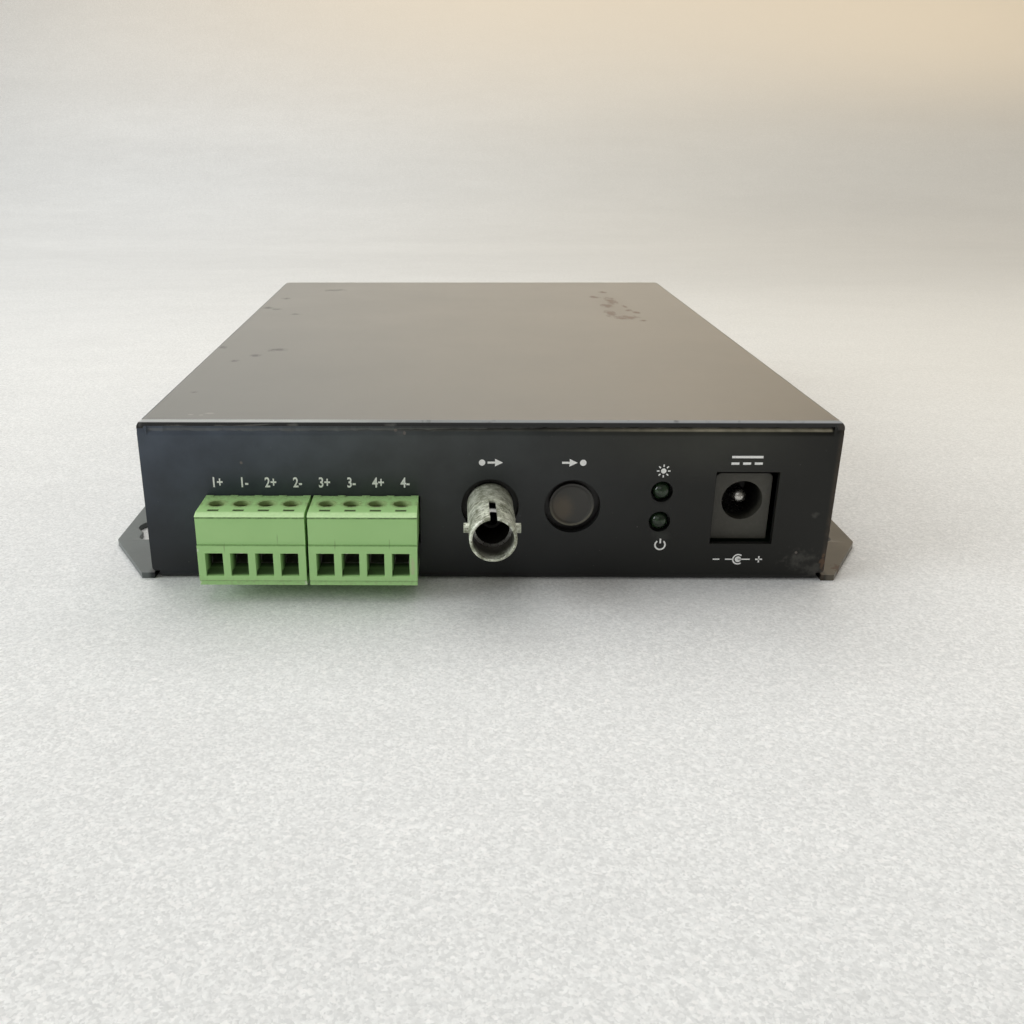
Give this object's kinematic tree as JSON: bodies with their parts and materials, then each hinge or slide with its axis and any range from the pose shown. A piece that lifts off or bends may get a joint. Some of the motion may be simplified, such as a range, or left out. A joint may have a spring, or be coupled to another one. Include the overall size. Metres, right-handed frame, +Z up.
{
  "type": "fiber optic video receiver",
  "caption": "Flat sheet-metal receiver box with keyhole ears, pluggable screw terminals and a bayonet fibre port in front and video jacks behind.",
  "frame": {"origin": "middle of the base plate's underside", "axes": "+X across the box to the right seen from the front, -Y out of the front panel, +Z up"},
  "size_m": [0.128, 0.1748, 0.0266],
  "materials": {
    "black_paint": "satin black paint, worn at the edges",
    "black_screw": "blackened steel",
    "board_laminate": "green solder mask",
    "bright_steel": "plain bright steel",
    "green_plastic": "satin moulded plastic",
    "tinned_metal": "tin plate",
    "clamp_steel": "dull plated steel",
    "cast_metal": "tarnished die casting",
    "sleeve_plastic": "dark moulded sleeve",
    "black_plastic": "moulded black plastic",
    "lamp_green": "tinted clear epoxy, unlit",
    "nickel": "nickel plate",
    "gold_contact": "gold flash",
    "white_plastic": "white insulator",
    "chip_plastic": "moulded epoxy",
    "capacitor_can": "bare can",
    "coil_ferrite": "ferrite"
  },
  "bodies": {
    "chassis": {"base_chassis": "black_paint", "board_screws": "bright_steel", "board_standoffs": "bright_steel", "circuit_board": "board_laminate", "codec_chips": "chip_plastic", "cover_screws": "black_screw", "fiber_port": "cast_metal", "fiber_ring": "bright_steel", "fiber_sleeve": "sleeve_plastic", "lamp_holder": "black_plastic", "lamp_leads": "tinned_metal", "left_header": "green_plastic", "left_header_pins": "tinned_metal", "light_detector": "bright_steel", "lower_lamp": "lamp_green", "main_chip": "chip_plastic", "port_blank": "black_plastic", "power_jack": "black_plastic", "power_jack_pin": "nickel", "power_jack_spring": "nickel", "right_header": "green_plastic", "right_header_pins": "tinned_metal", "supply_capacitors": "capacitor_can", "supply_coil": "coil_ferrite", "top_cover": "black_paint", "upper_lamp": "lamp_green", "video_contacts": "gold_contact", "video_insulator_1": "white_plastic", "video_insulator_2": "white_plastic", "video_insulator_3": "white_plastic", "video_insulator_4": "white_plastic", "video_jack_1": "nickel", "video_jack_2": "nickel", "video_jack_3": "nickel", "video_jack_4": "nickel", "video_nuts": "nickel", "video_washers": "nickel"},
    "left_plug": {"left_plug": "green_plastic", "left_plug_contacts": "tinned_metal"},
    "right_plug": {"right_plug": "green_plastic", "right_plug_contacts": "tinned_metal"},
    "clamp_screw_1": {"clamp_screw_1": "clamp_steel"},
    "clamp_cage_1": {"clamp_cage_1": "tinned_metal"},
    "clamp_screw_2": {"clamp_screw_2": "clamp_steel"},
    "clamp_cage_2": {"clamp_cage_2": "tinned_metal"},
    "clamp_screw_3": {"clamp_screw_3": "clamp_steel"},
    "clamp_cage_3": {"clamp_cage_3": "tinned_metal"},
    "clamp_screw_4": {"clamp_screw_4": "clamp_steel"},
    "clamp_cage_4": {"clamp_cage_4": "tinned_metal"},
    "clamp_screw_5": {"clamp_screw_5": "clamp_steel"},
    "clamp_cage_5": {"clamp_cage_5": "tinned_metal"},
    "clamp_screw_6": {"clamp_screw_6": "clamp_steel"},
    "clamp_cage_6": {"clamp_cage_6": "tinned_metal"},
    "clamp_screw_7": {"clamp_screw_7": "clamp_steel"},
    "clamp_cage_7": {"clamp_cage_7": "tinned_metal"},
    "clamp_screw_8": {"clamp_screw_8": "clamp_steel"},
    "clamp_cage_8": {"clamp_cage_8": "tinned_metal"}
  },
  "joints": [
    {"name": "left_plug_slide", "type": "slide", "parent": "chassis", "child": "left_plug", "axis": [0, -1, 0], "range_m": [0, 0.01]},
    {"name": "right_plug_slide", "type": "slide", "parent": "chassis", "child": "right_plug", "axis": [0, -1, 0], "range_m": [0, 0.01]},
    {"name": "clamp_turn_1", "type": "hinge", "parent": "left_plug", "child": "clamp_screw_1", "pos_m": [-0.04158, -0.077, 0.0124], "axis": [0, 0, -1], "range_deg": [0, 1980]},
    {"name": "clamp_lift_1", "type": "slide", "parent": "left_plug", "child": "clamp_cage_1", "axis": [0, 0, 1], "range_m": [0, 0.0022]},
    {"name": "clamp_turn_2", "type": "hinge", "parent": "left_plug", "child": "clamp_screw_2", "pos_m": [-0.03778, -0.077, 0.0124], "axis": [0, 0, -1], "range_deg": [0, 1980]},
    {"name": "clamp_lift_2", "type": "slide", "parent": "left_plug", "child": "clamp_cage_2", "axis": [0, 0, 1], "range_m": [0, 0.0022]},
    {"name": "clamp_turn_3", "type": "hinge", "parent": "left_plug", "child": "clamp_screw_3", "pos_m": [-0.03397, -0.077, 0.0124], "axis": [0, 0, -1], "range_deg": [0, 1980]},
    {"name": "clamp_lift_3", "type": "slide", "parent": "left_plug", "child": "clamp_cage_3", "axis": [0, 0, 1], "range_m": [0, 0.0022]},
    {"name": "clamp_turn_4", "type": "hinge", "parent": "left_plug", "child": "clamp_screw_4", "pos_m": [-0.03016, -0.077, 0.0124], "axis": [0, 0, -1], "range_deg": [0, 1980]},
    {"name": "clamp_lift_4", "type": "slide", "parent": "left_plug", "child": "clamp_cage_4", "axis": [0, 0, 1], "range_m": [0, 0.0022]},
    {"name": "clamp_turn_5", "type": "hinge", "parent": "right_plug", "child": "clamp_screw_5", "pos_m": [-0.02474, -0.077, 0.0124], "axis": [0, 0, -1], "range_deg": [0, 1980]},
    {"name": "clamp_lift_5", "type": "slide", "parent": "right_plug", "child": "clamp_cage_5", "axis": [0, 0, 1], "range_m": [0, 0.0022]},
    {"name": "clamp_turn_6", "type": "hinge", "parent": "right_plug", "child": "clamp_screw_6", "pos_m": [-0.02092, -0.077, 0.0124], "axis": [0, 0, -1], "range_deg": [0, 1980]},
    {"name": "clamp_lift_6", "type": "slide", "parent": "right_plug", "child": "clamp_cage_6", "axis": [0, 0, 1], "range_m": [0, 0.0022]},
    {"name": "clamp_turn_7", "type": "hinge", "parent": "right_plug", "child": "clamp_screw_7", "pos_m": [-0.01711, -0.077, 0.0124], "axis": [0, 0, -1], "range_deg": [0, 1980]},
    {"name": "clamp_lift_7", "type": "slide", "parent": "right_plug", "child": "clamp_cage_7", "axis": [0, 0, 1], "range_m": [0, 0.0022]},
    {"name": "clamp_turn_8", "type": "hinge", "parent": "right_plug", "child": "clamp_screw_8", "pos_m": [-0.01331, -0.077, 0.0124], "axis": [0, 0, -1], "range_deg": [0, 1980]},
    {"name": "clamp_lift_8", "type": "slide", "parent": "right_plug", "child": "clamp_cage_8", "axis": [0, 0, 1], "range_m": [0, 0.0022]}
  ],
  "couplings": [
    {"joint": "clamp_turn_1", "follows": "clamp_lift_1", "rad_per_m": 15708},
    {"joint": "clamp_turn_2", "follows": "clamp_lift_2", "rad_per_m": 15708},
    {"joint": "clamp_turn_3", "follows": "clamp_lift_3", "rad_per_m": 15708},
    {"joint": "clamp_turn_4", "follows": "clamp_lift_4", "rad_per_m": 15708},
    {"joint": "clamp_turn_5", "follows": "clamp_lift_5", "rad_per_m": 15708},
    {"joint": "clamp_turn_6", "follows": "clamp_lift_6", "rad_per_m": 15708},
    {"joint": "clamp_turn_7", "follows": "clamp_lift_7", "rad_per_m": 15708},
    {"joint": "clamp_turn_8", "follows": "clamp_lift_8", "rad_per_m": 15708}
  ]
}
